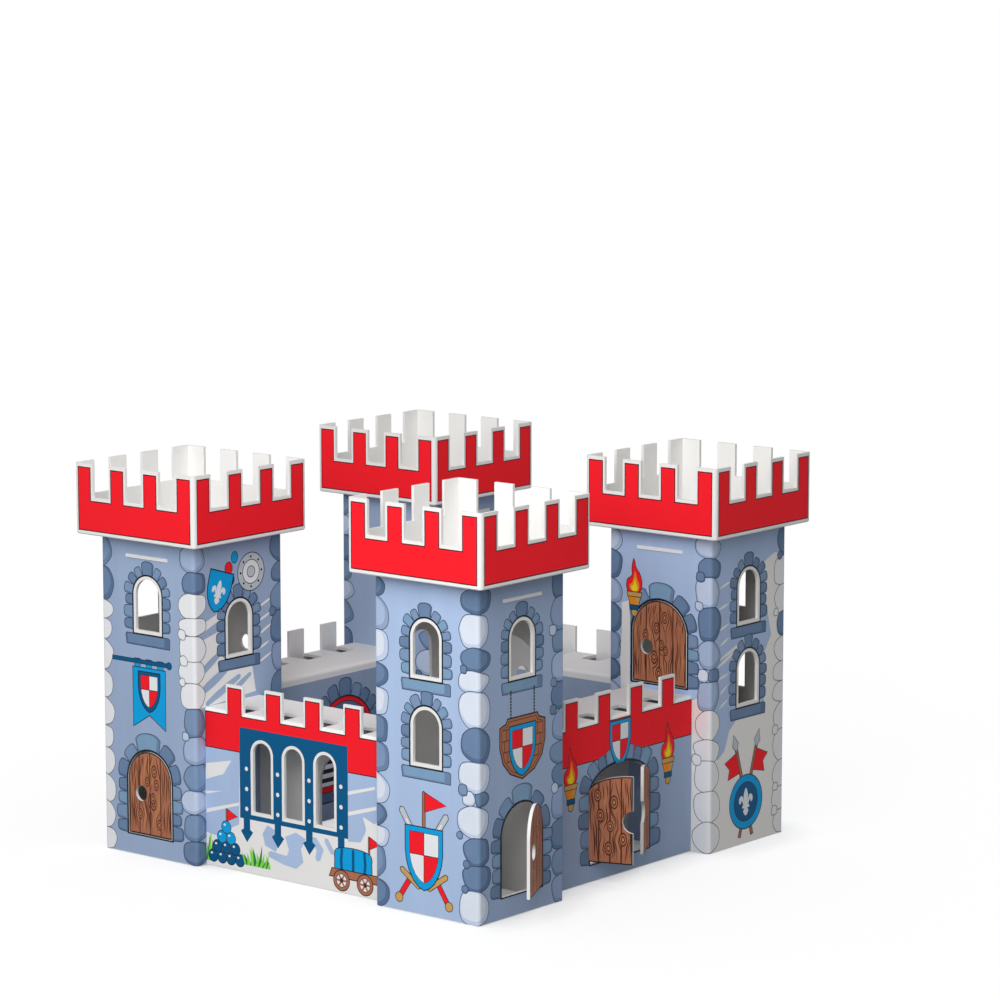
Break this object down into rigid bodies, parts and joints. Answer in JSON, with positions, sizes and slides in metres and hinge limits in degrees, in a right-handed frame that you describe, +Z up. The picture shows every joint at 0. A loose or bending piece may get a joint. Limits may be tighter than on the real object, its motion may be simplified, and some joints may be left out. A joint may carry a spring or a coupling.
{
  "type": "cardboard castle",
  "caption": "Folded cardboard toy castle: square towers with battlement crowns, joined by walls with walkways, barred windows and a gate with folding doors.",
  "frame": {"origin": "on the floor, in the middle of the square that the towers' axes make", "axes": "+Z up, -Y out of the gate, -X out of the wall with the barred windows"},
  "size_m": [0.3334, 0.3394, 0.25],
  "materials": {
    "tower_card": "satin",
    "crown_card": "satin",
    "wall_card": "satin",
    "platform_card": "satin"
  },
  "bodies": {
    "root": {"tower_front": "tower_card", "crown_front": "crown_card", "platform_front": "platform_card", "tower_left": "tower_card", "crown_left": "crown_card", "platform_left": "platform_card", "tower_right": "tower_card", "crown_right": "crown_card", "platform_right": "platform_card", "tower_back": "tower_card", "crown_back": "crown_card", "platform_back": "platform_card", "wall_gate": "wall_card", "wall_windows": "wall_card", "wall_back_left": "wall_card", "wall_back_right": "wall_card"}
  },
  "joints": []
}
